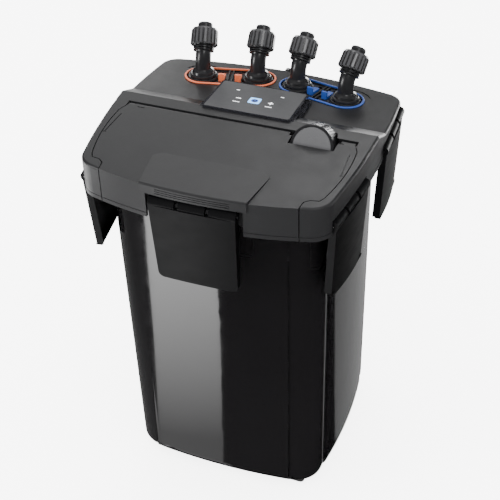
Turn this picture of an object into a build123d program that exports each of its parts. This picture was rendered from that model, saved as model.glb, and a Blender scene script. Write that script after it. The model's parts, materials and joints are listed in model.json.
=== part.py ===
from build123d import *
import math
import os

# Canister filter: a tall square canister, a head with the pump, and five swing latches.
# Millimetres, +Z up, front at -Y, origin on the floor under the middle of the head.

# ---- driving dimensions -------------------------------------------------------------
TOP = 474.0                # height of the head's front plateau
FOOT_H = 9.0               # rubber feet
SKIRT_Z = TOP - 43         # lower edge of the head's skirt
SEAT_Z = TOP - 34          # underside of the head that presses on the seal
SEAL_T = 2.0
FLANGE_Z = TOP - 42        # underside of the canister's rim flange
FLANGE_T = 6.0

HEAD_FRONT_Y = -152.0
HEAD_REAR_Y = 152.0
SIDE_R, SIDE_CX, SIDE_CY = 877.0, -722.0, 30.5   # each long side of the head is one large arc
FRONT_CORNER_Y = -130.6
REAR_CORNER_Y = 133.0
FRONT_CORNER_R, REAR_CORNER_R = 26.0, 22.0
SKIRT_T = 3.5
RIM_BAND_H, RIM_GROOVE_W, RIM_GROOVE_D = 5.0, 0.9, 0.6
WALL_T = 22.0              # moulded box wall above the seat
FLANGE_INSET = 9.0

RAMP_Y0, RAMP_Y1 = 12.0, 39.0   # ramp between the plateau and the rear deck
RAMP_DROP = 13.0
DECK_TILT = 6.5            # degrees, the rear deck falls to the back
ROOF_T = 4.0

COVER_T = 4.0
COVER_GAP = 1.1
COVER_REAR_Y = -6.5
SKIRT_HALF_X = 112.0       # half width of the cover's front skirt
BARREL_R = 4.5             # rolled rear edge of the cover
BARREL_HALF_X = 134.5

BODY_X, BODY_Y = 126.0, 121.0   # half size of the canister's core at its top
BODY_CY = 8.0
BODY_R = 36.0
BODY_T = 3.0
BODY_FOOT_R = 15.0
BODY_DRAFT = 0.7           # degrees
PANEL_X, PANEL_Y = 87.0, 74.0   # half widths of the raised front and side panels
PANEL_RISE, PANEL_CROWN = 2.5, 5.0

PIN_R = 2.0                # latch and cover pins
RUN_GAP = 0.06             # radial clearance of a running fit
KNUCKLE_R = 6.5
PIN_INSET = 2.0            # latch pin behind the head's outline
FRONT_PIN_Z = TOP - 18.5
SIDE_PIN_Z = TOP - 32.5
LUG_W, LUG_PITCH = 3.4, 34.4
TOE_REACH = 16.0

KNOB_X, KNOB_Y, KNOB_Z = 89.3, -26.5, TOP - 2.5
KNOB_R, KNOB_L, KNOB_TILT = 24.5, 25.0, 28.0
KNOB_GAP = 1.5
KNOB_SOCKET_T = 3.0

PORTS = ((-89.0, 61.4), (-25.3, 77.5), (25.3, 77.5), (89.0, 61.4))   # on the deck plane
PORT_TURN = (15.0, 5.0, -5.0, -15.0)   # how far each elbow is swivelled outwards
RING_R, RING_W, RING_H = 22.5, 2.3, 1.8
PLATE_DEPTH = 1.5          # port plates lie below the deck
SPIGOT_R, BORE_R = 9.5, 6.5
NECK_H, BEND_R, BEND = 18.0, 18.0, 38.0
NUT_R, NUT_Z, NUT_H = 16.5, 8.0, 20.5
THREAD_R, THREAD_PITCH, THREAD_END = 12.4, 2.7, 9.9
BARB_R, NUT_MOUTH_R = 8.8, 9.7

PANEL_HALF, PANEL_Y0, PANEL_Y1 = 51.5, 7.4, 76.0
PANEL_TOP0, PANEL_TOP1 = 2.4, -4.4

MOTOR_Y = 62.0
MOTOR_R, MOTOR_Z0, MOTOR_Z1 = 35.0, TOP - 78, TOP - 26

PLATE_T = 2.0
SOCKET_L = 10.0            # port sockets below the plates
O_RING_Z, O_RING_H, O_RING_R = -8.0, 2.4, 11.3

INLET_Z, INLET_R, INLET_COLLAR_R = TOP - 30.1, 3.4, 4.6
INLET_Y0, INLET_Y1 = 136.5, 157.6   # the inlet stands as far out as the front latch

os.makedirs("parts", exist_ok=True)


def side_x(y):
    """Half width of the head at a given y."""
    return SIDE_CX + math.sqrt(SIDE_R**2 - (y - SIDE_CY) ** 2)


def bow_radius(half, sag):
    """Radius of an arc with a given half chord and rise."""
    return (half**2 + sag**2) / (2 * sag)


def head_outline(z, inset=0.0):
    """Plan of the head: four bowed sides with rounded corners, optionally drawn in by inset."""
    front = bow_radius(side_x(FRONT_CORNER_Y), FRONT_CORNER_Y - HEAD_FRONT_Y)
    rear = bow_radius(side_x(REAR_CORNER_Y), HEAD_REAR_Y - REAR_CORNER_Y)
    with BuildSketch(Plane.XY.offset(z)) as outline:
        with Locations((SIDE_CX, SIDE_CY)):
            Circle(SIDE_R - inset)
        with Locations((-SIDE_CX, SIDE_CY)):
            Circle(SIDE_R - inset, mode=Mode.INTERSECT)
        with Locations((0, HEAD_FRONT_Y + front)):
            Circle(front - inset, mode=Mode.INTERSECT)
        with Locations((0, HEAD_REAR_Y - rear)):
            Circle(rear - inset, mode=Mode.INTERSECT)
        corners = outline.vertices().sort_by(Axis.Y)
        fillet(corners[:2], radius=FRONT_CORNER_R - inset)
        corners = outline.vertices().sort_by(Axis.Y)
        fillet(corners[-2:], radius=max(REAR_CORNER_R - inset, 3.0))
    return outline.sketch


def rim_groove():
    """Shallow line round the skirt, above its rim band."""
    with BuildPart() as groove:
        extrude(head_outline(SKIRT_Z + RIM_BAND_H), amount=RIM_GROOVE_W)
        extrude(head_outline(SKIRT_Z + RIM_BAND_H, RIM_GROOVE_D), amount=RIM_GROOVE_W, mode=Mode.SUBTRACT)
    return groove.part


def deck_z(y):
    """Height of the head's top surface on its centre line."""
    if y <= RAMP_Y0:
        return TOP
    if y <= RAMP_Y1:
        return TOP - RAMP_DROP * (y - RAMP_Y0) / (RAMP_Y1 - RAMP_Y0)
    return TOP - RAMP_DROP - (y - RAMP_Y1) * math.tan(math.radians(DECK_TILT))


def top_profile(lower, drop):
    """Side section under the head's top surface, moved down by drop."""
    far = 170.0
    with BuildSketch(Plane.YZ.offset(-far)) as section:
        with BuildLine():
            Polyline(
                (-far, lower), (-far, TOP - drop), (RAMP_Y0, TOP - drop),
                (RAMP_Y1, deck_z(RAMP_Y1) - drop), (far, deck_z(far) - drop), (far, lower), close=True)
        make_face()
    return section.sketch


def cover_plan(z, grow=0.0):
    """Plan of the service cover: bowed sides, stepped front corners, straight front tongue."""
    with BuildSketch(Plane.XY.offset(z)) as plan:
        with BuildLine():
            right = [(BARREL_HALF_X, COVER_REAR_Y), (BARREL_HALF_X, -13), (139.5, -25)]
            Polyline((-BARREL_HALF_X, COVER_REAR_Y), *right)
            ThreePointArc((139.5, -25), (138.8, -75), (131, -114))
            Polyline((131, -114), (128, -119.5), (119, -121), (113.5, -126), (SKIRT_HALF_X, -134),
                     (SKIRT_HALF_X, -170), (-SKIRT_HALF_X, -170), (-SKIRT_HALF_X, -134), (-113.5, -126),
                     (-119, -121), (-128, -119.5), (-131, -114))
            ThreePointArc((-131, -114), (-138.8, -75), (-139.5, -25))
            Polyline((-139.5, -25), (-BARREL_HALF_X, -13), (-BARREL_HALF_X, COVER_REAR_Y))
        make_face()
        if grow:
            offset(amount=grow, kind=Kind.INTERSECTION)
    return plan.sketch


DECK = Plane(
    origin=(0, RAMP_Y1, TOP - RAMP_DROP), x_dir=(1, 0, 0),
    z_dir=(0, math.sin(math.radians(DECK_TILT)), math.cos(math.radians(DECK_TILT))))
NECK_R = 9.3
LOCK_X, LOCK_W = 9.8, 7.0
PORT_SPAN = math.dist(PORTS[0], PORTS[1])


def deck_frame(x, y, turn):
    """Plane on the deck at a local point, with its X axis turned in the deck by an angle in degrees."""
    angle = math.radians(turn)
    across = DECK.x_dir * math.cos(angle) + DECK.y_dir * math.sin(angle)
    return Plane(origin=DECK.from_local_coords(Vector(x, y, 0)), x_dir=across, z_dir=DECK.z_dir)


def port_frame(side):
    """Deck plane at the middle of the left or right pair of ports, X from port to port."""
    (ax, ay), (bx, by) = (PORTS[0], PORTS[1]) if side < 0 else (PORTS[2], PORTS[3])
    return deck_frame((ax + bx) / 2, (ay + by) / 2, math.degrees(math.atan2(by - ay, bx - ax)))


KNOB_AXIS = Plane(
    origin=(KNOB_X, KNOB_Y, KNOB_Z), x_dir=(1, 0, 0),
    z_dir=(0, -math.cos(math.radians(KNOB_TILT)), math.sin(math.radians(KNOB_TILT))))


def latch_frame(name):
    """Plane at a latch's pin: X points out of the head, Z up."""
    if name == "front":
        return Plane(origin=(0, HEAD_FRONT_Y + PIN_INSET, FRONT_PIN_Z), x_dir=(0, -1, 0), z_dir=(0, 0, 1))
    side = -1 if name.startswith("left") else 1
    y = LATCH_Y[name.split("_")[1]]
    angle = math.asin((y - SIDE_CY) / SIDE_R)
    reach = SIDE_R - PIN_INSET
    point = (side * (SIDE_CX + reach * math.cos(angle)), SIDE_CY + reach * math.sin(angle), SIDE_PIN_Z)
    return Plane(origin=point, x_dir=(side * math.cos(angle), math.sin(angle), 0), z_dir=(0, 0, 1))


LATCH_Y = {"front": -74.0, "rear": 74.0}
LATCHES = ("front", "left_front", "left_rear", "right_front", "right_rear")
FRONT_LATCH_HALF, SIDE_LATCH_HALF = 49.5, 43.0


def latch_half(name):
    return FRONT_LATCH_HALF if name == "front" else SIDE_LATCH_HALF


def section_plane(base):
    """Plane through a base's Z axis: X radial, Y along the axis."""
    return Plane(origin=base.origin, x_dir=base.x_dir, z_dir=-base.y_dir)


def turned(base, points, mode=Mode.ADD):
    """Revolve a half section given as radius and height about the base's Z axis."""
    with BuildSketch(section_plane(base)) as section:
        with BuildLine():
            Polyline(*points, close=True)
        make_face()
    revolve(section.sketch, axis=Axis(base.origin, base.z_dir), mode=mode)


def save(builder, name):
    builder.part.label = name
    export_step(builder.part, f"parts/{name}.step")


# ---- canister ------------------------------------------------------------------------
BODY_TOP = FLANGE_Z + FLANGE_T
BODY_H = BODY_TOP - FOOT_H
SHRINK = BODY_H * math.tan(math.radians(BODY_DRAFT))   # inset of the core at its foot


def body_shape(z0, inset, height, panel_height, foot_r):
    """Tapered core with four raised, slightly crowned panels and a rounded foot, drawn in by inset."""
    bx, by = BODY_X - SHRINK - inset, BODY_Y - SHRINK - inset
    with BuildPart() as shape:
        with BuildSketch(Plane.XY.offset(z0)):
            with Locations((0, BODY_CY)):
                RectangleRounded(2 * bx, 2 * by, BODY_R - SHRINK - inset)
        extrude(amount=height, taper=-BODY_DRAFT)
        fillet(shape.faces().sort_by(Axis.Z)[0].edges(), radius=foot_r)
        for turn in (0, 90, 180, 270):
            width, wall = (PANEL_X, by) if turn % 180 == 0 else (PANEL_Y, bx)
            half, edge = width - inset, -wall - PANEL_RISE
            with BuildPart(mode=Mode.PRIVATE) as panel:
                with BuildSketch(Plane(origin=(0, BODY_CY, z0)).rotated((0, 0, turn))):
                    with BuildLine():
                        ThreePointArc((-half, edge), (0, edge - PANEL_CROWN), (half, edge))
                        Polyline((half, edge), (half, 14 - wall), (-half, 14 - wall), (-half, edge))
                    make_face()
                extrude(amount=panel_height, taper=-BODY_DRAFT)
                foot = panel.faces().sort_by(Axis.Z)[0].edges().filter_by(GeomType.CIRCLE)
                fillet(foot, radius=foot_r)
            add(panel.part)
    return shape.part


with BuildPart() as canister_body:
    add(body_shape(FOOT_H, 0, BODY_H, BODY_H - FLANGE_T, BODY_FOOT_R))
    extrude(head_outline(FLANGE_Z, FLANGE_INSET), amount=FLANGE_T)
    add(body_shape(FOOT_H + BODY_T, BODY_T, BODY_H, BODY_H, BODY_FOOT_R - BODY_T), mode=Mode.SUBTRACT)
save(canister_body, "canister_body")

FOOT_X, FOOT_Y = 88.0, (-88.0, 104.0)
with BuildPart() as feet:
    with BuildSketch():
        for y in FOOT_Y:
            with Locations((FOOT_X, y), (-FOOT_X, y)):
                RectangleRounded(28, 15, 5)
    extrude(amount=FOOT_H)
    fillet(feet.faces().sort_by(Axis.Z)[:4].edges(), radius=1.5)
save(feet, "feet")

with BuildPart() as head_seal:
    extrude(head_outline(SEAT_Z - SEAL_T, 14.5), amount=SEAL_T)
    extrude(head_outline(SEAT_Z - SEAL_T, 19.0), amount=SEAL_T, mode=Mode.SUBTRACT)
save(head_seal, "head_seal")

# ---- head ----------------------------------------------------------------------------
WELL_X, WELL_Y0, WELL_Y1, WELL_Z = 106.0, -88.0, -22.0, TOP - 62
WELL_T, WELL_CORNER_R = 3.0, 17.0
POCKET_DEPTH = 12.0        # latch pocket behind the pin axis

with BuildPart() as head_housing:
    extrude(head_outline(SKIRT_Z), amount=TOP - SKIRT_Z)
    extrude(top_profile(SKIRT_Z, 0), amount=340, mode=Mode.INTERSECT)
    rim = head_housing.edges().filter_by(lambda e: e.center().Z > deck_z(e.center().Y) - 0.3)
    fillet(rim.filter_by(lambda e: abs(e.center().X) > 1 or abs(e.center().Y) > 100), radius=3)
    # room for the rim flange inside the skirt
    extrude(head_outline(SKIRT_Z, SKIRT_T), amount=SEAT_Z - SKIRT_Z, mode=Mode.SUBTRACT)
    # hollow of the box above the seat, under the sloping roof
    with BuildPart(mode=Mode.PRIVATE) as hollow:
        extrude(head_outline(SKIRT_Z, WALL_T), amount=TOP - SKIRT_Z)
        extrude(top_profile(SKIRT_Z, ROOF_T + 1), amount=340, mode=Mode.INTERSECT)
    add(hollow.part, mode=Mode.SUBTRACT)
    # prefilter well
    well_mid = (WELL_Y0 + WELL_Y1) / 2
    with BuildSketch(Plane.XY.offset(WELL_Z - WELL_T)):
        with Locations((0, well_mid)):
            RectangleRounded(2 * (WELL_X + WELL_T), WELL_Y1 - WELL_Y0 + 2 * WELL_T, WELL_CORNER_R + WELL_T)
    extrude(amount=TOP - COVER_T - WELL_Z)
    # recess for the service cover, its rolled rear edge and its front skirt
    extrude(cover_plan(TOP - COVER_T - 0.5, COVER_GAP), amount=20, mode=Mode.SUBTRACT)
    with BuildSketch(Plane.XY.offset(TOP - 2 * BARREL_R - 0.6)):
        with Locations((0, COVER_REAR_Y + COVER_GAP - 6)):
            Rectangle(2 * (BARREL_HALF_X + 2 * COVER_GAP), 12)
    extrude(amount=30, mode=Mode.SUBTRACT)
    with BuildPart(mode=Mode.PRIVATE) as bay:
        with BuildSketch(Plane.XY.offset(SKIRT_Z - 1)):
            with Locations((0, HEAD_FRONT_Y)):
                Rectangle(2 * (SKIRT_HALF_X + COVER_GAP), 44)
        extrude(amount=60)
        extrude(head_outline(SKIRT_Z - 1, SKIRT_T + COVER_GAP), amount=60, mode=Mode.SUBTRACT)
    add(bay.part, mode=Mode.SUBTRACT)
    with BuildSketch(Plane.XY.offset(SKIRT_Z - 1)):
        with Locations((0, HEAD_FRONT_Y)):
            Rectangle(2 * (FRONT_LATCH_HALF + 1.2), 2 * (PIN_INSET + KNUCKLE_R + 0.8))
    extrude(amount=FRONT_PIN_Z - SKIRT_Z + KNUCKLE_R + 2.5, mode=Mode.SUBTRACT)
    with BuildSketch(Plane.XY.offset(WELL_Z)):
        with Locations((0, well_mid)):
            RectangleRounded(2 * WELL_X, WELL_Y1 - WELL_Y0, WELL_CORNER_R)
    extrude(amount=100, mode=Mode.SUBTRACT)
    # pockets for the side latches, open below, with their pin lugs
    for name in LATCHES[1:]:
        frame = latch_frame(name)
        with BuildSketch(frame.offset(SKIRT_Z - 1 - SIDE_PIN_Z)):
            with Locations((10 - POCKET_DEPTH / 2, 0)):
                Rectangle(POCKET_DEPTH + 20, 2 * (SIDE_LATCH_HALF + 1.2))
        extrude(amount=SIDE_PIN_Z - SKIRT_Z + 1 + KNUCKLE_R + 1.5, mode=Mode.SUBTRACT)
    # knob socket, trimmed to the top surface
    with BuildPart(mode=Mode.PRIVATE) as socket:
        with BuildSketch(KNOB_AXIS.offset(-KNOB_L - 5)):
            Circle(KNOB_R + KNOB_GAP + KNOB_SOCKET_T)
        extrude(amount=KNOB_L + 8)
        extrude(top_profile(TOP - 60, COVER_T + 0.6), amount=340, mode=Mode.INTERSECT)
    add(socket.part)
    with BuildSketch(KNOB_AXIS.offset(-KNOB_L - 1)):
        Circle(KNOB_R + KNOB_GAP)
    extrude(amount=60, mode=Mode.SUBTRACT)
    with BuildSketch(KNOB_AXIS.offset(-KNOB_L - 6)):
        Circle(4.0 + RUN_GAP)
    extrude(amount=8, mode=Mode.SUBTRACT)
    # lugs that hold the latch pins
    for name in LATCHES:
        frame = latch_frame(name)
        lug_plane = Plane(origin=frame.origin, x_dir=frame.x_dir, z_dir=frame.y_dir)
        for place in (-LUG_PITCH / 2, LUG_PITCH / 2):
            scale = latch_half(name) / FRONT_LATCH_HALF
            with BuildSketch(lug_plane.offset(place * scale - LUG_W / 2)):
                with Locations((-POCKET_DEPTH / 2, 0)):
                    Rectangle(POCKET_DEPTH + 1, 7)
                Circle(3.5)
                Circle(PIN_R, mode=Mode.SUBTRACT)
            extrude(amount=LUG_W)
    # seats of the cover's two hinge pins
    for side in (-1, 1):
        with Locations(Location((side * 138.0, COVER_REAR_Y - BARREL_R, TOP - BARREL_R), (0, 90, 0))):
            Cylinder(PIN_R, 8, mode=Mode.SUBTRACT)
    # deck: socket tubes, pockets for the port plates and a curved finger groove at each outer end
    for x, y in PORTS:
        with BuildSketch(DECK.offset(-PLATE_DEPTH - SOCKET_L)):
            with Locations((x, y)):
                Circle(SPIGOT_R + 4)
        extrude(amount=SOCKET_L)
    for side in (-1, 1):
        with BuildSketch(port_frame(side).offset(-PLATE_DEPTH - PLATE_T)):
            SlotCenterToCenter(PORT_SPAN, 2 * (RING_R - RING_W))
        extrude(amount=12, mode=Mode.SUBTRACT)
        with BuildSketch(DECK.offset(-1.0)):
            x, y = PORTS[0] if side < 0 else PORTS[3]
            with BuildLine():
                CenterArc((x, y), RING_R + 7, 90 + side * 10, -side * 70)
            trace(line_width=2.4)
        extrude(amount=5, mode=Mode.SUBTRACT)
    for x, y in PORTS:
        with BuildSketch(DECK.offset(-60)):
            with Locations((x, y)):
                Circle(SPIGOT_R + RUN_GAP)
        extrude(amount=60, mode=Mode.SUBTRACT)
        with BuildSketch(DECK.offset(O_RING_Z)):
            with Locations((x, y)):
                Circle(O_RING_R)
        extrude(amount=O_RING_H, mode=Mode.SUBTRACT)
    add(rim_groove(), mode=Mode.SUBTRACT)
    # bore for the cord inlet in the rear wall
    with Locations(Location((0, HEAD_REAR_Y - 12, INLET_Z), (90, 0, 0))):
        Cylinder(INLET_R, 40, mode=Mode.SUBTRACT)
save(head_housing, "head_housing")

with BuildPart() as cord_inlet:
    with Locations(Location((0, (INLET_Y0 + INLET_Y1) / 2, INLET_Z), (90, 0, 0))):
        Cylinder(INLET_R, INLET_Y1 - INLET_Y0)
    with Locations(Location((0, (HEAD_REAR_Y + 0.4 + INLET_Y1) / 2, INLET_Z), (90, 0, 0))):
        Cylinder(INLET_COLLAR_R, INLET_Y1 - HEAD_REAR_Y - 0.4)
    with Locations(Location((0, (INLET_Y0 + INLET_Y1) / 2, INLET_Z), (90, 0, 0))):
        Cylinder(2.0, 30, mode=Mode.SUBTRACT)
save(cord_inlet, "cord_inlet")

# ---- service cover -------------------------------------------------------------------
TAB_Y0, TAB_HALF0, TAB_HALF1 = -90.0, 67.0, 60.0    # raised pull tab in the middle of the front
LIP_Y, LIP_Z = -153.5, TOP - 10
NOTCH_HALF = 55.0
with BuildPart() as service_cover:
    extrude(cover_plan(TOP - COVER_T), amount=COVER_T)
    extrude(head_outline(TOP - COVER_T), amount=COVER_T, mode=Mode.INTERSECT)
    # front skirt with its rim band
    with BuildPart(mode=Mode.PRIVATE) as skirt:
        extrude(head_outline(SKIRT_Z), amount=TOP - SKIRT_Z)
        extrude(head_outline(SKIRT_Z, SKIRT_T), amount=TOP - SKIRT_Z, mode=Mode.SUBTRACT)
        extrude(cover_plan(SKIRT_Z), amount=TOP - SKIRT_Z, mode=Mode.INTERSECT)
        with BuildSketch(Plane.XY.offset(SKIRT_Z)):
            with Locations((0, -160)):
                Rectangle(2 * SKIRT_HALF_X, 50)
        extrude(amount=TOP - SKIRT_Z, mode=Mode.INTERSECT)
        add(rim_groove(), mode=Mode.SUBTRACT)
    add(skirt.part)
    with BuildSketch(Plane.XZ.offset(-HEAD_FRONT_Y - 10)):
        with Locations((0, (SKIRT_Z - 5 + LIP_Z) / 2)):
            Rectangle(2 * NOTCH_HALF, LIP_Z - SKIRT_Z + 5)
    extrude(amount=30, mode=Mode.SUBTRACT)
    # pull tab, rising to the front and ending in a lip
    with BuildPart(mode=Mode.PRIVATE) as tab:
        with BuildSketch(Plane.XY.offset(LIP_Z)):
            with BuildLine():
                Polyline((TAB_HALF1, LIP_Y + 3.2), (TAB_HALF0, TAB_Y0 - 8), (TAB_HALF0 - 8, TAB_Y0),
                         (8 - TAB_HALF0, TAB_Y0), (-TAB_HALF0, TAB_Y0 - 8), (-TAB_HALF1, LIP_Y + 3.2))
                ThreePointArc((-TAB_HALF1, LIP_Y + 3.2), (0, LIP_Y), (TAB_HALF1, LIP_Y + 3.2))
            make_face()
        extrude(amount=20)
        with BuildSketch(Plane.YZ.offset(-80)):
            with BuildLine():
                Polyline((TAB_Y0 + 1, TOP - 2), (TAB_Y0 + 1, TOP + 0.3), (LIP_Y - 1, TOP + 2.8), (LIP_Y - 1, LIP_Z),
                         (HEAD_FRONT_Y + SKIRT_T + 0.5, LIP_Z), (HEAD_FRONT_Y + SKIRT_T + 0.5, TOP - 2),
                         close=True)
            make_face()
        extrude(amount=160, mode=Mode.INTERSECT)
        lip = tab.edges().filter_by(lambda e: e.center().Y < LIP_Y + 4 and e.length > 100)
        fillet(lip.sort_by(Axis.Z)[-1:], radius=2.0)
    add(tab.part)
    # three grip ridges on the lip
    for step in range(3):
        with BuildSketch(Plane.XY.offset(TOP - 2.2 - 2.6 * step)):
            with BuildLine():
                ThreePointArc((-42, LIP_Y + 1.55), (0, LIP_Y), (42, LIP_Y + 1.55))
            trace(line_width=1.4)
        extrude(amount=0.9, mode=Mode.SUBTRACT)
    # opening for the knob
    with BuildSketch(Plane.XY.offset(TOP - 20)):
        with Locations((KNOB_X, KNOB_Y + 11)):
            Rectangle(2 * (KNOB_R + 1.8), 30)
    extrude(amount=40, mode=Mode.SUBTRACT)
    # rolled rear edge, interrupted at the knob
    knob_room = KNOB_R + KNOB_GAP + KNOB_SOCKET_T + 0.6
    with BuildSketch(Plane.XY.offset(TOP - 20)):
        with Locations((KNOB_X, COVER_REAR_Y)):
            Rectangle(2 * knob_room, 4 * BARREL_R)
    extrude(amount=40, mode=Mode.SUBTRACT)
    for x0, x1 in ((-BARREL_HALF_X, KNOB_X - knob_room), (KNOB_X + knob_room, BARREL_HALF_X)):
        middle = ((x0 + x1) / 2, COVER_REAR_Y - BARREL_R, TOP - BARREL_R)
        with BuildSketch(Plane.XY.offset(TOP - 3)):
            with Locations(((x0 + x1) / 2, COVER_REAR_Y)):
                Rectangle(x1 - x0, 2 * BARREL_R)
        extrude(amount=4, mode=Mode.SUBTRACT)
        with Locations(Location(middle, (0, 90, 0))):
            Cylinder(BARREL_R, x1 - x0)
    for side in (-1, 1):
        with Locations(Location((side * 130.0, COVER_REAR_Y - BARREL_R, TOP - BARREL_R), (0, 90, 0))):
            Cylinder(PIN_R + RUN_GAP, 12, mode=Mode.SUBTRACT)
    # shallow lines moulded near the rear corners and along both sides
    with BuildSketch(Plane.XY.offset(TOP - 0.8)):
        for side in (-1, 1):
            with Locations((side * 118.0, -14.5)):
                Rectangle(9, 1.2)
            with Locations(Location((side * 135.5, -52, 0), (0, 0, side * 4))):
                Rectangle(1.2, 38)
            with Locations(Location((side * 136.6, -71.5, 0))):
                Rectangle(4, 1.2)
    extrude(amount=3, mode=Mode.SUBTRACT)
save(service_cover, "service_cover")

with BuildPart() as cover_hinge_pins:
    for side in (-1, 1):
        with Locations(Location((side * 133.5, COVER_REAR_Y - BARREL_R, TOP - BARREL_R), (0, 90, 0))):
            Cylinder(PIN_R, 16)
save(cover_hinge_pins, "cover_hinge_pins")

# ---- latches -------------------------------------------------------------------------
PLATE_U = 7.6              # outer face of a latch plate in front of its pin
LATCH_T = 3.5
LATCH_LEAN = 3.7           # degrees, foot of the plate leans to the canister


def latch_part(name):
    frame = latch_frame(name)
    half = latch_half(name)
    pin_z = FRONT_PIN_Z if name == "front" else SIDE_PIN_Z
    bow = 900.0 if name == "front" else 330.0
    drop = pin_z - TOP + (122.0 if name == "front" else 134.0)
    face_plane = Plane(origin=frame.origin, x_dir=frame.y_dir, z_dir=frame.x_dir)
    pin_plane = Plane(origin=frame.origin, x_dir=frame.x_dir, z_dir=frame.y_dir)
    with BuildPart() as latch:
        lean = math.radians(LATCH_LEAN)
        down = frame.x_dir * -math.sin(lean) + frame.z_dir * -math.cos(lean)
        with BuildSketch(frame.offset(-1.5)) as band:
            with Locations((PLATE_U - bow, 0)):
                Circle(bow)
                Circle(bow - LATCH_T, mode=Mode.SUBTRACT)
            with Locations((0, 0)):
                Rectangle(60, 2 * half, mode=Mode.INTERSECT)
            sag = half**2 / (2 * bow)
            with Locations((PLATE_U - sag - 4.4, half - 1.5), (PLATE_U - sag - 4.4, 1.5 - half)):
                Rectangle(8, 3)
        extrude(amount=drop, dir=tuple(down))
        # closing rib along the foot
        with BuildSketch(frame.offset(-drop + 2)):
            with Locations((PLATE_U - drop * math.sin(lean) - 4.5, 0)):
                Rectangle(7, 2 * half - 6)
        extrude(amount=3)
        with BuildSketch(face_plane.offset(-30)) as outline:
            with BuildLine():
                Polyline((-half, 10), (half, 10), (half - 3, -drop), (3 - half, -drop), close=True)
            make_face()
            fillet(outline.vertices().sort_by(Axis.Y)[:2], radius=7)
        extrude(amount=60, mode=Mode.INTERSECT)
        # knuckles around the pin and a hook toe under each of them
        pitch = LUG_PITCH * half / FRONT_LATCH_HALF
        gap = LUG_W / 2 + 0.5
        inner, outer = pitch / 2 - gap, pitch / 2 + gap
        for v0, v1 in ((-half, -outer), (-inner, inner), (outer, half)):
            with BuildSketch(pin_plane.offset(v0)):
                Circle(KNUCKLE_R)
            extrude(amount=v1 - v0)
            with BuildSketch(frame.offset(FLANGE_Z - pin_z - 5.1)):
                with Locations(((PLATE_U - 3 - TOE_REACH) / 2, (v0 + v1) / 2)):
                    Rectangle(PLATE_U - 3 + TOE_REACH, min(20.0, v1 - v0 - 4))
            extrude(amount=5)
        with BuildSketch(pin_plane.offset(-half)):
            Circle(PIN_R + RUN_GAP)
        extrude(amount=2 * half, mode=Mode.SUBTRACT)
    return latch


def legends(row, pitch, grow):
    """Minus, plus, two underlines and two small marks, as faces of the pending sketch."""
    with Locations((-pitch, row)):
        Rectangle(6 + grow, 1.3 + grow)
    with Locations((pitch, row)):
        Rectangle(6 + grow, 1.3 + grow)
        Rectangle(1.3 + grow, 6 + grow)
    with Locations((-pitch, row - 9), (pitch, row - 9)):
        Rectangle(8 + grow, 1.0 + grow)
    with Locations((-27, row + 19), (27, row + 19)):
        Rectangle(4 + grow, 1.0 + grow)


for name in LATCHES:
    save(latch_part(name), f"latch_{name}")

with BuildPart() as latch_hinge_pins:
    for name in LATCHES:
        frame = latch_frame(name)
        half = latch_half(name)
        pin_plane = Plane(origin=frame.origin, x_dir=frame.x_dir, z_dir=frame.y_dir)
        with BuildSketch(pin_plane.offset(-half - 0.8)):
            Circle(PIN_R)
        extrude(amount=2 * half + 1.6)
save(latch_hinge_pins, "latch_hinge_pins")

# ---- knob ----------------------------------------------------------------------------
with BuildPart() as prefilter_knob:
    with BuildSketch(KNOB_AXIS.offset(-KNOB_L)):
        Circle(KNOB_R)
        with PolarLocations(KNOB_R, 44):
            Rectangle(1.8, 1.7, mode=Mode.SUBTRACT)
    extrude(amount=KNOB_L - 3)
    turned(KNOB_AXIS, [(0, -3.2), (KNOB_R, -3.2), (KNOB_R, -1.0), (KNOB_R - 1.0, 0), (0, 0)])
    with BuildSketch(KNOB_AXIS.offset(-1.2)):
        Circle(KNOB_R - 3)
    extrude(amount=5, mode=Mode.SUBTRACT)
    with BuildSketch(KNOB_AXIS.offset(-KNOB_L - 6)):
        Circle(4.0)
    extrude(amount=6)
save(prefilter_knob, "prefilter_knob")

with BuildPart() as knob_face:
    with BuildSketch(KNOB_AXIS.offset(-1.2)):
        Circle(KNOB_R - 3)
    extrude(amount=0.9)
save(knob_face, "knob_face")

# ---- control panel -------------------------------------------------------------------
panel_run = PANEL_Y1 - PANEL_Y0
panel_tilt = math.atan((PANEL_TOP0 - PANEL_TOP1) / panel_run)
PANEL = Plane(
    origin=(0, PANEL_Y0, TOP + PANEL_TOP0), x_dir=(1, 0, 0),
    z_dir=(0, math.sin(panel_tilt), math.cos(panel_tilt)))
panel_len = panel_run / math.cos(panel_tilt)


def over_deck(rise0, rise1, y0, y1):
    """Side section that follows the head's top surface from y0 to y1 and closes above it."""
    with BuildSketch(Plane.YZ.offset(-80)) as section:
        with BuildLine():
            Polyline((y0, TOP), (RAMP_Y0, TOP), (RAMP_Y1, deck_z(RAMP_Y1)), (y1, deck_z(y1)),
                     (y1, rise1), (y0, rise0), close=True)
        make_face()
    return section.sketch


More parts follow.
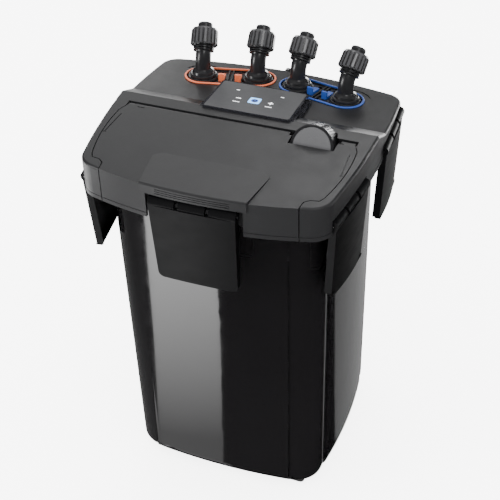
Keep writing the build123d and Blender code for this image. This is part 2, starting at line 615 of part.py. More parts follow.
with BuildPart() as control_panel_housing:
    extrude(over_deck(TOP + PANEL_TOP0, TOP + PANEL_TOP1, PANEL_Y0, PANEL_Y1), amount=160)
    with BuildSketch(Plane.XY.offset(TOP - 40)):
        with Locations((0, (PANEL_Y0 + PANEL_Y1) / 2)):
            RectangleRounded(2 * PANEL_HALF + 3, panel_run, 3)
    extrude(amount=60, mode=Mode.INTERSECT)
    # rail along the foot of the console
    with BuildPart(mode=Mode.PRIVATE) as rail:
        extrude(over_deck(TOP + 0.4, deck_z(PANEL_Y1) + 6, PANEL_Y0 + 3, PANEL_Y1), amount=160)
        with BuildSketch(Plane.XY.offset(TOP - 40)):
            with Locations((0, (PANEL_Y0 + PANEL_Y1) / 2)):
                Rectangle(2 * PANEL_HALF + 9, panel_run)
        extrude(amount=60, mode=Mode.INTERSECT)
    add(rail.part)
    with BuildSketch(PANEL.offset(-1.0)):
        with Locations((0, panel_len / 2)):
            RectangleRounded(2 * PANEL_HALF - 1, panel_len - 2.6, 3)
    extrude(amount=5, mode=Mode.SUBTRACT)
save(control_panel_housing, "control_panel_housing")

KEY_S, KEY_PITCH, KEY_SIZE = 31.0, 19.5, 13.5
with BuildPart() as control_panel_face:
    with BuildSketch(PANEL.offset(-1.0)):
        with Locations((0, panel_len / 2)):
            RectangleRounded(2 * PANEL_HALF - 1.4, panel_len - 3.0, 2.8)
    extrude(amount=1.2)
    with BuildSketch(PANEL.offset(-0.2)):
        with Locations((0, KEY_S)):
            RectangleRounded(KEY_SIZE + 0.1, KEY_SIZE + 0.1, 2)
        legends(KEY_S, KEY_PITCH, 0.05)
    extrude(amount=3, mode=Mode.SUBTRACT)
save(control_panel_face, "control_panel_face")

with BuildPart() as power_key:
    with BuildSketch(PANEL.offset(-0.2)):
        with Locations((0, KEY_S)):
            RectangleRounded(KEY_SIZE, KEY_SIZE, 2)
            Circle(4.2, mode=Mode.SUBTRACT)
    extrude(amount=0.6)
save(power_key, "power_key")

with BuildPart() as power_symbol:
    with BuildSketch(PANEL.offset(-0.2)):
        with Locations((0, KEY_S)):
            Circle(4.1)
            Circle(2.9, mode=Mode.SUBTRACT)
        with Locations((0, KEY_S + 2.4)):
            Rectangle(2.6, 3.6, mode=Mode.SUBTRACT)
            Rectangle(1.2, 3.6)
    extrude(amount=0.55)
save(power_symbol, "power_symbol")

with BuildPart() as panel_legends:
    with BuildSketch(PANEL.offset(-0.2)):
        legends(KEY_S, KEY_PITCH, 0.0)
    extrude(amount=0.5)
save(panel_legends, "panel_legends")

# ---- ports: rings, plates, elbows, nuts, locks ---------------------------------------
for side, name in ((-1, "outlet"), (1, "inlet")):
    frame = port_frame(side)
    with BuildPart() as ring:
        with BuildSketch(frame):
            SlotCenterToCenter(PORT_SPAN, 2 * RING_R)
            SlotCenterToCenter(PORT_SPAN, 2 * (RING_R - RING_W) + 0.2, mode=Mode.SUBTRACT)
        extrude(amount=RING_H)
        fillet(ring.faces().sort_by(Axis.Z)[-1].edges(), radius=0.7)
    save(ring, f"{name}_ring")
    with BuildPart() as plate:
        with BuildSketch(frame.offset(-PLATE_DEPTH - PLATE_T)):
            SlotCenterToCenter(PORT_SPAN, 2 * (RING_R - RING_W) - 0.1)
            with Locations((-PORT_SPAN / 2, 0), (PORT_SPAN / 2, 0)):
                Circle(SPIGOT_R + RUN_GAP, mode=Mode.SUBTRACT)
            with Locations((-LOCK_X, 13.4), (LOCK_X, 13.4)):
                Rectangle(5.4, 6, mode=Mode.SUBTRACT)
        extrude(amount=PLATE_T)
        # double divider rail between the two ports
        with BuildSketch(frame.offset(-PLATE_DEPTH)):
            with Locations((-2.4, 0), (2.4, 0)):
                Rectangle(1.6, 35)
        extrude(amount=3)
    save(plate, f"{name}_port_plate")
    for index, place in enumerate((-LOCK_X, LOCK_X)):
        with BuildPart() as lock:
            with BuildSketch(frame.offset(-PLATE_DEPTH + 0.3)):
                with Locations((place, -1)):
                    Rectangle(LOCK_W, 14)
            extrude(amount=3.2)
            with BuildSketch(frame.offset(-PLATE_DEPTH + 0.3)):
                with Locations((place, -9)):
                    Rectangle(LOCK_W, 2.6)
            extrude(amount=9.5)
        save(lock, f"{name}_lock_{index + 1}")


def elbow_planes(index):
    """Plane on the deck at a port, turned as the elbow stands, and plane at the end of its bend."""
    foot = deck_frame(*PORTS[index], PORT_TURN[index])
    bend = math.radians(BEND)
    end = foot.from_local_coords(Vector(0, BEND_R * (1 - math.cos(bend)), NECK_H + BEND_R * math.sin(bend)))
    axis = foot.z_dir * math.cos(bend) + foot.y_dir * math.sin(bend)
    return foot, Plane(origin=end, x_dir=foot.x_dir, z_dir=axis)


BARB_Z0, BARB_Z1 = NUT_Z + NUT_H - 7, NUT_Z + NUT_H + 7.5
for index in range(4):
    foot, end = elbow_planes(index)
    bend_axis = Axis(foot.from_local_coords(Vector(0, BEND_R, NECK_H)), -foot.x_dir)
    with BuildPart() as elbow:
        low, seat = -PLATE_DEPTH - SOCKET_L, 0.3 - PLATE_DEPTH
        turned(foot, [(0, low), (SPIGOT_R - 0.8, low), (SPIGOT_R, low + 1.5), (SPIGOT_R, seat), (18.5, seat),
                      (18.5, 1.2), (17.7, 2.0), (15.8, 2.0), (15.8, 4.4), (15.0, 5.2), (13.4, 5.4), (12.6, 8.2),
                      (10.4, 10.2), (NECK_R, 11.5), (NECK_R, NECK_H), (0, NECK_H)])
        with BuildSketch(foot.offset(NECK_H)):
            Circle(NECK_R)
        revolve(axis=bend_axis, revolution_arc=BEND)
        thread = [(NECK_R + 0.4, 1.2)]
        for ring_no in range(3):
            z = 1.2 + THREAD_PITCH * ring_no
            thread += [(THREAD_R, z + 0.5), (THREAD_R, z + 1.5), (NECK_R + 0.7, z + 2.1), (NECK_R + 0.7, z + 2.7)]
        turned(end, [(0, 0), (NECK_R, 0)] + thread + [
            (THREAD_R, THREAD_END), (THREAD_R, BARB_Z0 - 2), (BARB_R, BARB_Z0), (BARB_R, BARB_Z1 - 2.4),
            (BARB_R - 0.7, BARB_Z1 - 0.7), (BARB_R - 2.0, BARB_Z1), (0, BARB_Z1)])
        with BuildSketch(foot.offset(low - 1)):
            Circle(BORE_R)
        extrude(amount=NECK_H - low + 1, mode=Mode.SUBTRACT)
        with BuildSketch(foot.offset(NECK_H)):
            Circle(BORE_R)
        revolve(axis=bend_axis, revolution_arc=BEND, mode=Mode.SUBTRACT)
        with BuildSketch(end):
            Circle(BORE_R)
        extrude(amount=BARB_Z1 + 1, mode=Mode.SUBTRACT)
    save(elbow, f"hose_elbow_{index + 1}")

    with BuildPart() as nut:
        with BuildSketch(end.offset(NUT_Z)):
            Circle(NUT_R)
            with PolarLocations(NUT_R, 20):
                Rectangle(2.6, 2.3, mode=Mode.SUBTRACT)
        extrude(amount=NUT_H)
        with BuildPart(mode=Mode.PRIVATE) as envelope:
            turned(end, [(0, NUT_Z), (NUT_R - 1.2, NUT_Z), (NUT_R, NUT_Z + 1.4), (NUT_R - 0.5, NUT_Z + NUT_H - 3),
                         (NUT_R - 2.4, NUT_Z + NUT_H), (0, NUT_Z + NUT_H)])
        add(envelope.part, mode=Mode.INTERSECT)
        turned(end, [(0, NUT_Z - 1), (THREAD_R + RUN_GAP, NUT_Z - 1), (THREAD_R + RUN_GAP, BARB_Z0 - 1.5),
                     (NUT_MOUTH_R, BARB_Z0 + 0.4), (NUT_MOUTH_R, NUT_Z + NUT_H + 1), (0, NUT_Z + NUT_H + 1)],
               Mode.SUBTRACT)
    save(nut, f"hose_nut_{index + 1}")

with BuildPart() as port_o_rings:
    for x, y in PORTS:
        with BuildSketch(DECK.offset(O_RING_Z)):
            with Locations((x, y)):
                Circle(O_RING_R)
                Circle(SPIGOT_R + 0.03, mode=Mode.SUBTRACT)
        extrude(amount=O_RING_H)
save(port_o_rings, "port_o_rings")

# ---- prefilter -----------------------------------------------------------------------
PRE_X0, PRE_X1, PRE_Y0, PRE_Y1 = -103.0, 50.0, -86.0, -24.0
pre_mid = ((PRE_X0 + PRE_X1) / 2, (PRE_Y0 + PRE_Y1) / 2)
PRE_H, PRE_R = 34.0, 15.0
with BuildPart() as prefilter_basket:
    with BuildSketch(Plane.XY.offset(WELL_Z)):
        with Locations(pre_mid):
            RectangleRounded(PRE_X1 - PRE_X0, PRE_Y1 - PRE_Y0, PRE_R)
    extrude(amount=PRE_H)
    with BuildSketch(Plane.XY.offset(WELL_Z + 2)):
        with Locations(pre_mid):
            RectangleRounded(PRE_X1 - PRE_X0 - 4, PRE_Y1 - PRE_Y0 - 4, PRE_R - 2)
    extrude(amount=PRE_H, mode=Mode.SUBTRACT)
    with BuildSketch(Plane.XY.offset(WELL_Z)):
        with Locations(pre_mid):
            with GridLocations(14, 17, 10, 3):
                SlotOverall(13, 5, rotation=90)
    extrude(amount=3, mode=Mode.SUBTRACT)
save(prefilter_basket, "prefilter_basket")

with BuildPart() as prefilter_foam:
    with BuildSketch(Plane.XY.offset(WELL_Z + 2)):
        with Locations(pre_mid):
            RectangleRounded(PRE_X1 - PRE_X0 - 5, PRE_Y1 - PRE_Y0 - 5, PRE_R - 2.5)
    extrude(amount=PRE_H - 6)
save(prefilter_foam, "prefilter_foam")

# ---- pump ----------------------------------------------------------------------------
ROTOR_R, ROTOR_Z0, ROTOR_Z1 = 9.0, MOTOR_Z0 + 3, MOTOR_Z0 + 35
WELL_R = 10.0              # rotor well in the motor can
PUMP = Plane(origin=(0, MOTOR_Y, 0))
SHAFT_R = 2.0


def disc(radius, z0, z1, inner=0.0):
    """Ring or disc about the pump's axis in the pending part."""
    with BuildSketch(PUMP.offset(z0)) as ring_face:
        Circle(radius)
        if inner:
            Circle(inner, mode=Mode.SUBTRACT)
    extrude(ring_face.sketch, amount=z1 - z0)


with BuildPart() as motor_can:
    disc(MOTOR_R, MOTOR_Z0, MOTOR_Z1)
    disc_gap = [(WELL_R + 2, MOTOR_Z0 + 4), (MOTOR_R - 3, MOTOR_Z0 + 4), (MOTOR_R - 3, MOTOR_Z1 - 3),
                (0, MOTOR_Z1 - 3), (0, ROTOR_Z1 + 8), (WELL_R + 2, ROTOR_Z1 + 8)]
    turned(PUMP, disc_gap, Mode.SUBTRACT)
    turned(PUMP, [(0, MOTOR_Z0 - 1), (WELL_R, MOTOR_Z0 - 1), (WELL_R, ROTOR_Z1 + 5), (0, ROTOR_Z1 + 5)],
           Mode.SUBTRACT)
save(motor_can, "motor_can")

with BuildPart() as stator_core:
    disc(MOTOR_R - 4, MOTOR_Z0 + 12, MOTOR_Z0 + 30, 25)
    with BuildSketch(PUMP.offset(MOTOR_Z0 + 12)):
        with Locations((19.3, 0), (-19.3, 0)):
            Rectangle(13, 14)
    extrude(amount=18)
save(stator_core, "stator_core")

with BuildPart() as stator_coils:
    for side in (-1, 1):
        with BuildSketch(Plane.YZ.offset(side * 18 - 4)):
            with Locations((MOTOR_Y, MOTOR_Z0 + 21)):
                RectangleRounded(22, 26, 4)
                Rectangle(14.4, 18.4, mode=Mode.SUBTRACT)
        extrude(amount=8)
save(stator_coils, "stator_coils")

with BuildPart() as rotor_magnet:
    disc(ROTOR_R, ROTOR_Z0, ROTOR_Z1, SHAFT_R + 1.2)
save(rotor_magnet, "rotor_magnet")

IMP_Z0, IMP_Z1 = MOTOR_Z0 - 14, MOTOR_Z0 - 3
with BuildPart() as impeller:
    disc(17, IMP_Z1 - 2, IMP_Z1, SHAFT_R + RUN_GAP)
    disc(SHAFT_R + 1.2, IMP_Z0, ROTOR_Z1, SHAFT_R + RUN_GAP)
    with BuildSketch(PUMP.offset(IMP_Z0)):
        with PolarLocations(10, 6):
            Rectangle(13.4, 1.4)
    extrude(amount=IMP_Z1 - IMP_Z0 - 2)
save(impeller, "impeller")

with BuildPart() as impeller_shaft:
    disc(SHAFT_R, IMP_Z0 - 3, ROTOR_Z1 + 4)
save(impeller_shaft, "impeller_shaft")

with BuildPart() as shaft_bushes:
    disc(5, ROTOR_Z1 + 1, ROTOR_Z1 + 5, SHAFT_R)
    disc(5, IMP_Z0 - 4, IMP_Z0 - 1, SHAFT_R)
save(shaft_bushes, "shaft_bushes")

VOLUTE_R = 27.0
with BuildPart() as pump_cover:
    disc(VOLUTE_R, IMP_Z0 - 8, MOTOR_Z0)
    turned(PUMP, [(0, IMP_Z0 - 4), (20, IMP_Z0 - 4), (20, MOTOR_Z0 + 1), (0, MOTOR_Z0 + 1)], Mode.SUBTRACT)
    with BuildSketch(PUMP.offset(IMP_Z0 - 9)):
        with PolarLocations(11, 6):
            Circle(3.6)
    extrude(amount=10, mode=Mode.SUBTRACT)
    with Locations(Location((0, MOTOR_Y + 24, (IMP_Z0 + MOTOR_Z0) / 2 - 2), (90, 0, 0))):
        Cylinder(5, 12, mode=Mode.SUBTRACT)
save(pump_cover, "pump_cover")

# ---- inside the canister -------------------------------------------------------------
PIPE_Y, PIPE_R = 103.0, 9.0
PIPE_TOP = IMP_Z0 - 12     # the pipe ends under the pump cover
TRAY_X, TRAY_Y0, TRAY_Y1, TRAY_H, TRAY_T = 216.0, -98.0, 90.0, 84.0, 2.0
TRAY_Z0 = FOOT_H + BODY_T + 8
tray_mid = (0, (TRAY_Y0 + TRAY_Y1) / 2)
TRAYS = 4
with BuildPart() as feed_pipe:
    with BuildSketch(Plane.XY.offset(FOOT_H + BODY_T + 5)):
        with Locations((0, PIPE_Y)):
            Circle(PIPE_R)
            Circle(PIPE_R - 2, mode=Mode.SUBTRACT)
    extrude(amount=PIPE_TOP - FOOT_H - BODY_T - 5)
save(feed_pipe, "feed_pipe")

MEDIA = ("coarse_foam", "fine_foam", "ceramic_media", "bio_media")
for level in range(TRAYS):
    z = TRAY_Z0 + level * (TRAY_H + 1)
    with BuildPart() as tray:
        with BuildSketch(Plane.XY.offset(z)):
            with Locations(tray_mid):
                RectangleRounded(TRAY_X, TRAY_Y1 - TRAY_Y0, 26)
        extrude(amount=TRAY_H)
        with BuildSketch(Plane.XY.offset(z + TRAY_T)):
            with Locations(tray_mid):
                RectangleRounded(TRAY_X - 2 * TRAY_T, TRAY_Y1 - TRAY_Y0 - 2 * TRAY_T, 24)
        extrude(amount=TRAY_H, mode=Mode.SUBTRACT)
        with BuildSketch(Plane.XY.offset(z)):
            with Locations(tray_mid):
                with GridLocations(18, 34, 10, 4):
                    SlotOverall(28, 7, rotation=90)
        extrude(amount=TRAY_T + 1, mode=Mode.SUBTRACT)
    save(tray, f"media_basket_{level + 1}")
    with BuildPart() as fill:
        with BuildSketch(Plane.XY.offset(z + TRAY_T)):
            with Locations(tray_mid):
                RectangleRounded(TRAY_X - 2 * TRAY_T - 1, TRAY_Y1 - TRAY_Y0 - 2 * TRAY_T - 1, 23)
        extrude(amount=TRAY_H - 16)
    save(fill, MEDIA[level])
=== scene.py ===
"""Looks of a canister filter: materials, studio light and camera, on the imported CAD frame."""
import json
import math

import bpy
from mathutils import Matrix, Vector

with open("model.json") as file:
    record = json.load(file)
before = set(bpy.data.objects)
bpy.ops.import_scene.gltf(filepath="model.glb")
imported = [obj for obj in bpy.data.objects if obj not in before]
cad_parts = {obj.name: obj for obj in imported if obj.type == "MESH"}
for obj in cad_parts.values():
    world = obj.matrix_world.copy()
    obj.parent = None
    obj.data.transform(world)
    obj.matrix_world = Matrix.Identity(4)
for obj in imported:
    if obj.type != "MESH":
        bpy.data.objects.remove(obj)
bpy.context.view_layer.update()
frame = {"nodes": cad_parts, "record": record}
nodes = frame["nodes"]


# ---- small helpers for materials -----------------------------------------------------
# sockets of a Mix node that mixes colours
MIX_A, MIX_B, MIX_OUT = 6, 7, 2

# how fast the painted shade in a groove deepens with depth, and how dark that painted shade is on the
# groove's floor beside the open surface
PAINTED_SHADE_POWER, PAINTED_GROOVE_SHADE = 2.2, 0.1


class Tree:
    """Thin wrapper that adds nodes and links to one material."""

    def __init__(self, name):
        self.mat = bpy.data.materials.new(name)
        self.mat.use_nodes = True
        self.nt = self.mat.node_tree
        self.bsdf = self.nt.nodes["Principled BSDF"]

    def add(self, kind, **values):
        node = self.nt.nodes.new(kind)
        for key, value in values.items():
            if hasattr(node, key):
                setattr(node, key, value)
            else:
                node.inputs[key].default_value = value
        return node

    def link(self, a, out, b, inp):
        self.nt.links.new(a.outputs[out], b.inputs[inp])

    def noise(self, scale, detail=4.0, rough=0.55, stretch=(1, 1, 1)):
        tex = self.add("ShaderNodeTexCoord")
        mapping = self.add("ShaderNodeMapping")
        mapping.inputs["Scale"].default_value = stretch
        self.link(tex, "Object", mapping, "Vector")
        noise = self.add("ShaderNodeTexNoise")
        noise.inputs["Scale"].default_value = scale
        noise.inputs["Detail"].default_value = detail
        noise.inputs["Roughness"].default_value = rough
        self.link(mapping, "Vector", noise, "Vector")
        return noise

    def span(self, source, out, low, high, from_low=0.3, from_high=0.7):
        ramp = self.add("ShaderNodeMapRange")
        ramp.inputs["From Min"].default_value = from_low
        ramp.inputs["From Max"].default_value = from_high
        ramp.inputs["To Min"].default_value = low
        ramp.inputs["To Max"].default_value = high
        self.link(source, out, ramp, "Value")
        return ramp

    def tone(self, source, out, dark, light, from_low=0.3, from_high=0.7):
        ramp = self.add("ShaderNodeValToRGB")
        ramp.color_ramp.elements[0].position = from_low
        ramp.color_ramp.elements[1].position = from_high
        ramp.color_ramp.elements[0].color = (*dark, 1)
        ramp.color_ramp.elements[1].color = (*light, 1)
        self.link(source, out, ramp, "Fac")
        return ramp

    def bump(self, source, out, strength, distance, under=None):
        bump = self.add("ShaderNodeBump")
        bump.inputs["Strength"].default_value = strength
        bump.inputs["Distance"].default_value = distance
        self.link(source, out, bump, "Height")
        if under:
            self.link(under, "Normal", bump, "Normal")
        return bump


def shade(color, k):
    return tuple(min(1.0, c * k) for c in color)


def plastic(name, color, rough, grain, grain_depth, spread=0.12, coat=0.0, coat_rough=0.05, specular=0.5):
    """Moulded plastic: spark-eroded grain, slow tone drift, uneven sheen and faint handling marks."""
    t = Tree(name)
    slow = t.noise(9.0, 5.0, 0.6)
    fine = t.noise(grain, 2.0, 0.5)
    marks = t.noise(38.0, 8.0, 0.7, (1, 1, 3.2))
    tone = t.tone(slow, "Fac", shade(color, 1 - spread), shade(color, 1 + spread))
    t.link(tone, "Color", t.bsdf, "Base Color")
    sheen = t.span(marks, "Fac", rough * 0.9, rough * 1.12)
    t.link(sheen, "Result", t.bsdf, "Roughness")
    flow = t.bump(slow, "Fac", 0.08, 0.0006)
    skin = t.bump(fine, "Fac", grain_depth, 0.00012, flow)
    t.link(skin, "Normal", t.bsdf, "Normal")
    t.bsdf.inputs["Specular IOR Level"].default_value = specular
    t.bsdf.inputs["Coat Weight"].default_value = coat
    t.bsdf.inputs["Coat Roughness"].default_value = coat_rough
    return t.mat


def gloss(name, color, rough=0.06):
    """High gloss moulding: deep colour under a clear skin with a very slight wave."""
    t = Tree(name)
    slow = t.noise(3.2, 3.0, 0.5, (1, 1, 0.6))
    haze = t.noise(55.0, 8.0, 0.72)
    dust = t.noise(900.0, 2.0, 0.5)
    tone = t.tone(slow, "Fac", shade(color, 0.85), shade(color, 1.2))
    t.link(tone, "Color", t.bsdf, "Base Color")
    sheen = t.span(haze, "Fac", rough * 0.8, rough * 1.5, 0.35, 0.75)
    t.link(sheen, "Result", t.bsdf, "Roughness")
    wave = t.bump(slow, "Fac", 0.10, 0.0010)
    skin = t.bump(dust, "Fac", 0.02, 0.00004, wave)
    t.link(skin, "Normal", t.bsdf, "Normal")
    t.bsdf.inputs["Specular IOR Level"].default_value = 0.55
    t.bsdf.inputs["Coat Weight"].default_value = 0.5
    t.bsdf.inputs["Coat Roughness"].default_value = 0.03
    return t.mat


def ribbed(name, color, rough, depth):
    """Satin plastic of a ribbed part, with painted shade in each groove: its base colour darkened by
    ambient occlusion.
    """
    mat = plastic(name, color, rough, grain=1100.0, grain_depth=0.18, spread=0.1,
                  coat=0.4, coat_rough=0.15, specular=0.6)
    nt = mat.node_tree
    bsdf = nt.nodes["Principled BSDF"]
    tone = bsdf.inputs["Base Color"].links[0].from_socket
    # ambient occlusion darkens the base colour in each groove: painted shade
    groove_shade_ao = nt.nodes.new("ShaderNodeAmbientOcclusion")
    groove_shade_ao.inputs["Distance"].default_value = depth
    power = nt.nodes.new("ShaderNodeMath")
    power.operation = "POWER"
    power.inputs[1].default_value = PAINTED_SHADE_POWER
    mix = nt.nodes.new("ShaderNodeMix")
    mix.data_type = "RGBA"
    mix.inputs[MIX_A].default_value = (*shade(color, PAINTED_GROOVE_SHADE), 1)
    nt.links.new(groove_shade_ao.outputs["AO"], power.inputs[0])
    nt.links.new(power.outputs["Value"], mix.inputs["Factor"])
    nt.links.new(tone, mix.inputs[MIX_B])
    nt.links.new(mix.outputs[MIX_OUT], bsdf.inputs["Base Color"])
    return mat


def rubber(name, color):
    t = Tree(name)
    slow = t.noise(30.0, 6.0, 0.6)
    fine = t.noise(1400.0, 3.0, 0.6)
    tone = t.tone(slow, "Fac", shade(color, 0.8), shade(color, 1.5))
    t.link(tone, "Color", t.bsdf, "Base Color")
    sheen = t.span(slow, "Fac", 0.62, 0.82)
    t.link(sheen, "Result", t.bsdf, "Roughness")
    skin = t.bump(fine, "Fac", 0.35, 0.0002)
    t.link(skin, "Normal", t.bsdf, "Normal")
    t.bsdf.inputs["Specular IOR Level"].default_value = 0.35
    return t.mat


def metal(name, color, rough, stretch, scale=260.0, depth=0.25):
    """Metal with fine directional lines."""
    t = Tree(name)
    lines = t.noise(scale, 6.0, 0.7, stretch)
    cloud = t.noise(14.0, 4.0, 0.6)
    tone = t.tone(lines, "Fac", shade(color, 0.82), shade(color, 1.12))
    t.link(tone, "Color", t.bsdf, "Base Color")
    sheen = t.span(cloud, "Fac", rough * 0.85, rough * 1.2)
    t.link(sheen, "Result", t.bsdf, "Roughness")
    skin = t.bump(lines, "Fac", depth, 0.00008)
    t.link(skin, "Normal", t.bsdf, "Normal")
    t.bsdf.inputs["Metallic"].default_value = 1.0
    return t.mat


def brushed(name, color, rough):
    """Satin moulding with fine level brush lines."""
    t = Tree(name)
    lines = t.noise(300.0, 6.0, 0.75, (1, 26, 26))
    cloud = t.noise(20.0, 4.0, 0.6)
    tone = t.tone(lines, "Fac", shade(color, 0.72), shade(color, 1.2))
    t.link(tone, "Color", t.bsdf, "Base Color")
    sheen = t.span(cloud, "Fac", rough * 0.85, rough * 1.2)
    t.link(sheen, "Result", t.bsdf, "Roughness")
    skin = t.bump(lines, "Fac", 0.3, 0.0001)
    t.link(skin, "Normal", t.bsdf, "Normal")
    return t.mat


def porous(name, color, scale, depth, rough=0.9):
    """Foam or fired media: open cells or grains, darker towards each pit as painted shade."""
    t = Tree(name)
    tex = t.add("ShaderNodeTexCoord")
    cells = t.add("ShaderNodeTexVoronoi")
    cells.inputs["Scale"].default_value = scale
    t.link(tex, "Object", cells, "Vector")
    slow = t.noise(scale * 0.3, 5.0, 0.6)
    # the cell tone darkens towards the pits that the bump sinks: painted shade in the pores
    tone = t.tone(cells, "Distance", shade(color, 0.25), shade(color, 1.15), 0.05, 0.6)
    mix = t.add("ShaderNodeMix", data_type="RGBA", blend_type="MULTIPLY")
    mix.inputs["Factor"].default_value = 0.35
    t.link(tone, "Color", mix, MIX_A)
    t.link(slow, "Color", mix, MIX_B)
    t.link(mix, MIX_OUT, t.bsdf, "Base Color")
    skin = t.bump(cells, "Distance", 0.9, depth)
    t.link(skin, "Normal", t.bsdf, "Normal")
    t.bsdf.inputs["Roughness"].default_value = rough
    return t.mat


def backlit_and_painted_glow(name, color, glow):
    """Key film and printed ink: the printed colour also glows; on the back-lit key film the glow is its
    back light, on the legends it is painted light that brightens the print.
    """
    t = Tree(name)
    slow = t.noise(160.0, 3.0, 0.5)
    tone = t.tone(slow, "Fac", shade(color, 0.9), shade(color, 1.08))
    t.link(tone, "Color", t.bsdf, "Base Color")
    t.link(tone, "Color", t.bsdf, "Emission Color")
    # the printed colour glows: back light on the key film, painted light on the legends
    t.bsdf.inputs["Emission Strength"].default_value = glow
    sheen = t.span(slow, "Fac", 0.28, 0.42)
    t.link(sheen, "Result", t.bsdf, "Roughness")
    return t.mat


HEAD = (0.0105, 0.0105, 0.0113)
MAT = {
    "canister_black": gloss("canister gloss black", (0.0042, 0.0040, 0.0043)),
    "head_grey": plastic("head satin grey", HEAD, rough=0.40, grain=1500.0, grain_depth=0.28,
                         spread=0.07, specular=0.42),
    "latch_black": plastic("latch satin black", (0.0026, 0.0026, 0.0029), rough=0.38, grain=1300.0,
                           grain_depth=0.25, specular=0.11),
    "fitting_black": plastic("fitting satin black", (0.0095, 0.0095, 0.0105), rough=0.30,
                             grain=1100.0, grain_depth=0.18, spread=0.1, coat=0.3, coat_rough=0.2,
                             specular=0.5),
    "console_black": gloss("console gloss black", (0.010, 0.010, 0.012), rough=0.12),
    "console_grey": plastic("console grey", (0.029, 0.0295, 0.032), rough=0.5, grain=1900.0,
                            grain_depth=0.22, spread=0.05),
    "knob_disc": brushed("knob brushed disc", (0.068, 0.068, 0.071), rough=0.42),
    "key_blue": backlit_and_painted_glow("power key film", (0.20, 0.46, 0.85), glow=0.40),
    "symbol_blue": backlit_and_painted_glow("power symbol ink", (0.02, 0.09, 0.42), glow=0.05),
    # the legends glow: painted light that brightens the print
    "legend_white": backlit_and_painted_glow("legend ink with painted glow", (0.80, 0.81, 0.83), glow=0.9),
    "outlet_orange": plastic("outlet orange", (0.50, 0.105, 0.042), rough=0.42, grain=1200.0,
                             grain_depth=0.18, spread=0.06),
    "inlet_blue": plastic("inlet blue", (0.012, 0.045, 0.215), rough=0.42, grain=1200.0,
                          grain_depth=0.18, spread=0.06),
    "rubber_black": rubber("seal and foot rubber", (0.014, 0.014, 0.014)),
    "pin_steel": metal("ground pin steel", (0.52, 0.52, 0.53), rough=0.25, stretch=(40, 1, 1)),
    "core_steel": metal("laminated core steel", (0.28, 0.28, 0.29), rough=0.45, stretch=(1, 1, 60)),
    "copper": metal("enamelled copper", (0.70, 0.28, 0.13), rough=0.3, stretch=(30, 1, 1),
                    scale=400.0, depth=0.6),
    "magnet": rubber("ferrite magnet", (0.05, 0.05, 0.055)),
    "impeller_grey": plastic("impeller grey", (0.33, 0.34, 0.36), rough=0.45, grain=900.0,
                             grain_depth=0.2),
    "ceramic_white": plastic("fired ceramic shaft", (0.80, 0.78, 0.74), rough=0.25, grain=1400.0,
                             grain_depth=0.1, spread=0.03, coat=0.4, coat_rough=0.1),
    "basket_grey": plastic("basket dark grey", (0.055, 0.056, 0.060), rough=0.5, grain=1000.0,
                           grain_depth=0.25),
    "foam_blue": porous("coarse blue foam", (0.04, 0.15, 0.36), scale=420.0, depth=0.0022),
    "foam_black": porous("fine black foam", (0.03, 0.03, 0.033), scale=900.0, depth=0.0012),
    "ceramic_media": porous("fired ceramic rings", (0.60, 0.52, 0.42), scale=90.0, depth=0.006),
    "bio_media": porous("sintered media balls", (0.42, 0.26, 0.17), scale=120.0, depth=0.005),
}

NUT = ribbed("nut polished black with painted groove shade", (0.034, 0.034, 0.036), rough=0.24, depth=0.004)

# every CAD piece takes the material of its slot in the record, but the union nuts are ribbed and take a
# material with painted shade in each groove
slots = {entry["node"]: entry["material_slot"] for entry in frame["record"]["subparts"]}
for name, obj in nodes.items():
    obj.data.materials.clear()
    obj.data.materials.append(NUT if name.startswith("hose_nut") else MAT[slots[name]])

# ---- floor, light and camera ---------------------------------------------------------
FLOOR_SIZE = 40
FLOOR_GLOW = 4.5      # makes the floor render nearly white
WORLD_STRENGTH = 3.4
DIM_SHARE = 0.12      # a card's dim end, as a share of its bright end


def aim(obj, target):
    direction = Vector(target) - obj.location
    obj.rotation_euler = direction.to_track_quat("-Z", "Y").to_euler()


def floor_material():
    t = Tree("studio sweep")
    slow = t.noise(1.3, 3.0, 0.5)
    tone = t.tone(slow, "Fac", (0.90, 0.90, 0.90), (0.93, 0.93, 0.93))
    t.link(tone, "Color", t.bsdf, "Base Color")
    t.bsdf.inputs["Roughness"].default_value = 0.75
    t.bsdf.inputs["Specular IOR Level"].default_value = 0.2
    t.bsdf.inputs["Emission Color"].default_value = (1, 1, 1, 1)
    t.bsdf.inputs["Emission Strength"].default_value = FLOOR_GLOW
    t.mat.cycles.emission_sampling = "NONE"
    return t.mat


bpy.ops.mesh.primitive_plane_add(size=FLOOR_SIZE)
floor = bpy.context.object
floor.name = "studio_floor"
floor.data.materials.append(floor_material())

world = bpy.data.worlds.new("studio")
bpy.context.scene.world = world
world.use_nodes = True
world.node_tree.nodes["Background"].inputs["Color"].default_value = (1, 1, 1, 1)
world.node_tree.nodes["Background"].inputs["Strength"].default_value = WORLD_STRENGTH

# mirrors show neither the world nor the floor, and the floor sends no bounced light to the object
world.cycles_visibility.glossy = False
floor.visible_glossy = floor.visible_diffuse = False


def softbox(name, place, target, width, height, power):
    light = bpy.data.lights.new(name, "AREA")
    light.shape = "RECTANGLE"
    light.size, light.size_y = width, height
    light.energy = power
    obj = bpy.data.objects.new(name, light)
    bpy.context.scene.collection.objects.link(obj)
    obj.location = place
    aim(obj, target)


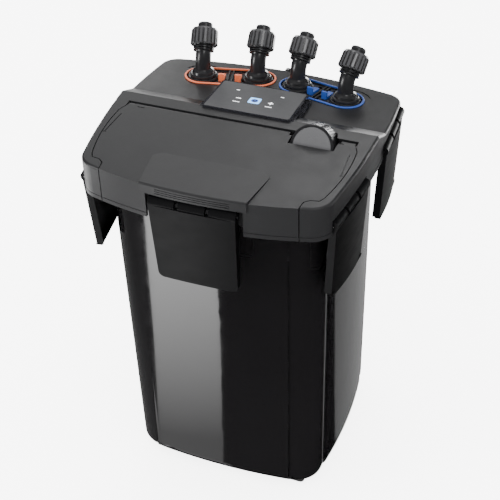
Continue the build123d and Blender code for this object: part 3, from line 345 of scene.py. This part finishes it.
def card(name, corners, strength, dim_at, bright_at):
    """Reflector seen only in glossy surfaces, fading from dim_at to bright_at, both points in metres."""
    mesh = bpy.data.meshes.new(name)
    mesh.from_pydata([Vector(c) for c in corners], [], [list(range(len(corners)))])
    obj = bpy.data.objects.new(name, mesh)
    bpy.context.scene.collection.objects.link(obj)
    mat = bpy.data.materials.new(name)
    mat.use_nodes = True
    nt = mat.node_tree
    nt.nodes.clear()
    place = nt.nodes.new("ShaderNodeTexCoord")
    run = Vector(bright_at) - Vector(dim_at)
    offset = nt.nodes.new("ShaderNodeVectorMath")
    offset.operation = "SUBTRACT"
    offset.inputs[1].default_value = dim_at
    along = nt.nodes.new("ShaderNodeVectorMath")
    along.operation = "DOT_PRODUCT"
    along.inputs[1].default_value = run / run.length_squared
    level_map = nt.nodes.new("ShaderNodeMapRange")
    level_map.inputs["To Min"].default_value = strength * DIM_SHARE
    level_map.inputs["To Max"].default_value = strength
    glow = nt.nodes.new("ShaderNodeEmission")
    result = nt.nodes.new("ShaderNodeOutputMaterial")
    nt.links.new(place.outputs["Object"], offset.inputs[0])
    nt.links.new(offset.outputs["Vector"], along.inputs[0])
    nt.links.new(along.outputs["Value"], level_map.inputs["Value"])
    nt.links.new(level_map.outputs["Result"], glow.inputs["Strength"])
    nt.links.new(glow.outputs["Emission"], result.inputs["Surface"])
    mat.cycles.emission_sampling = "NONE"
    mesh.materials.append(mat)
    obj.visible_camera = obj.visible_diffuse = obj.visible_shadow = obj.visible_transmission = False


# the low reflectors stand under the floor's level, where the tall faces mirror them
LOW = -0.3


def low(x, y):
    return (x, y, LOW)


card("reflector_front_left",
     [low(-0.065, -0.24), low(-0.44, -1.25), low(-0.98, -1.25), low(-0.18, -0.20)],
     strength=5.2, dim_at=low(-0.15, -0.40), bright_at=low(-0.33, -0.86))
card("reflector_left_corner",
     [low(-0.20, -0.20), low(-1.0, -1.25), low(-1.0, 0.28), low(-0.20, 0.28)],
     strength=0.19, dim_at=low(-0.2, -1.2), bright_at=low(-0.2, 0.2))
card("reflector_left_far",
     [low(-1.02, -1.1), low(-2.6, -1.1), low(-2.6, 0.35), low(-1.02, 0.35)],
     strength=5.5, dim_at=low(-0.9, 0.0), bright_at=low(-1.2, 0.0))
card("reflector_back_right",
     [low(0.10, 0.05), low(0.10, 1.60), low(1.16, 1.60), low(0.13, 0.05)],
     strength=0.46, dim_at=low(0.9, 0.2), bright_at=low(0.1, 0.9))
card("reflector_ramp",
     [(-2.4, 3.0, -1.4), (2.2, 3.0, -1.4), (2.2, 3.0, 0.35), (-2.4, 3.0, 0.35)],
     strength=9.0, dim_at=(-1.6, 3.0, 0), bright_at=(-0.6, 3.0, 0))
softbox("key_top", (-0.5, 0.5, 2.4), (0, 0, 0.45), width=1.5, height=1.0, power=9)
softbox("deck_left", (-1.55, 2.3, 1.15), (0, 0.05, 0.46), width=1.0, height=0.6, power=11)
softbox("cover_back", (-0.35, 2.3, 2.3), (0.05, -0.05, 0.46), width=0.9, height=0.7, power=14)
softbox("side_left", (-2.0, -1.5, 0.9), (0, 0, 0.4), width=0.5, height=1.2, power=30)
softbox("side_right", (2.3, 0.9, 1.1), (0, 0, 0.35), width=0.7, height=1.6, power=5)
softbox("front_top", (0.9, -1.0, 2.3), (0, 0.1, 0.5), width=0.8, height=0.6, power=7)

# camera: place in metres, angles in degrees, lens and sensor in millimetres
CAMERA_PLACE = (0.4422, -1.1070, 1.2556)
CAMERA_AZIMUTH, CAMERA_ELEVATION, CAMERA_ROLL = 21.647, 39.19, 2.077
CAMERA_LENS, CAMERA_SENSOR, CAMERA_REACH = 91.4, 36, 100

camera_data = bpy.data.cameras.new("camera")
camera = bpy.data.objects.new("camera", camera_data)
bpy.context.scene.collection.objects.link(camera)
azimuth, elevation = math.radians(CAMERA_AZIMUTH), math.radians(CAMERA_ELEVATION)
roll = math.radians(CAMERA_ROLL)
back = Vector((math.sin(azimuth) * math.cos(elevation),
               -math.cos(azimuth) * math.cos(elevation),
               math.sin(elevation)))
level = Vector((math.cos(azimuth), math.sin(azimuth), 0))
upward = back.cross(level)
right = level * math.cos(roll) - upward * math.sin(roll)
up = level * math.sin(roll) + upward * math.cos(roll)
camera.matrix_world = Matrix((
    (right.x, up.x, back.x, CAMERA_PLACE[0]),
    (right.y, up.y, back.y, CAMERA_PLACE[1]),
    (right.z, up.z, back.z, CAMERA_PLACE[2]),
    (0, 0, 0, 1)))
camera_data.sensor_width = CAMERA_SENSOR
camera_data.lens = CAMERA_LENS
camera_data.clip_end = CAMERA_REACH
bpy.context.scene.camera = camera
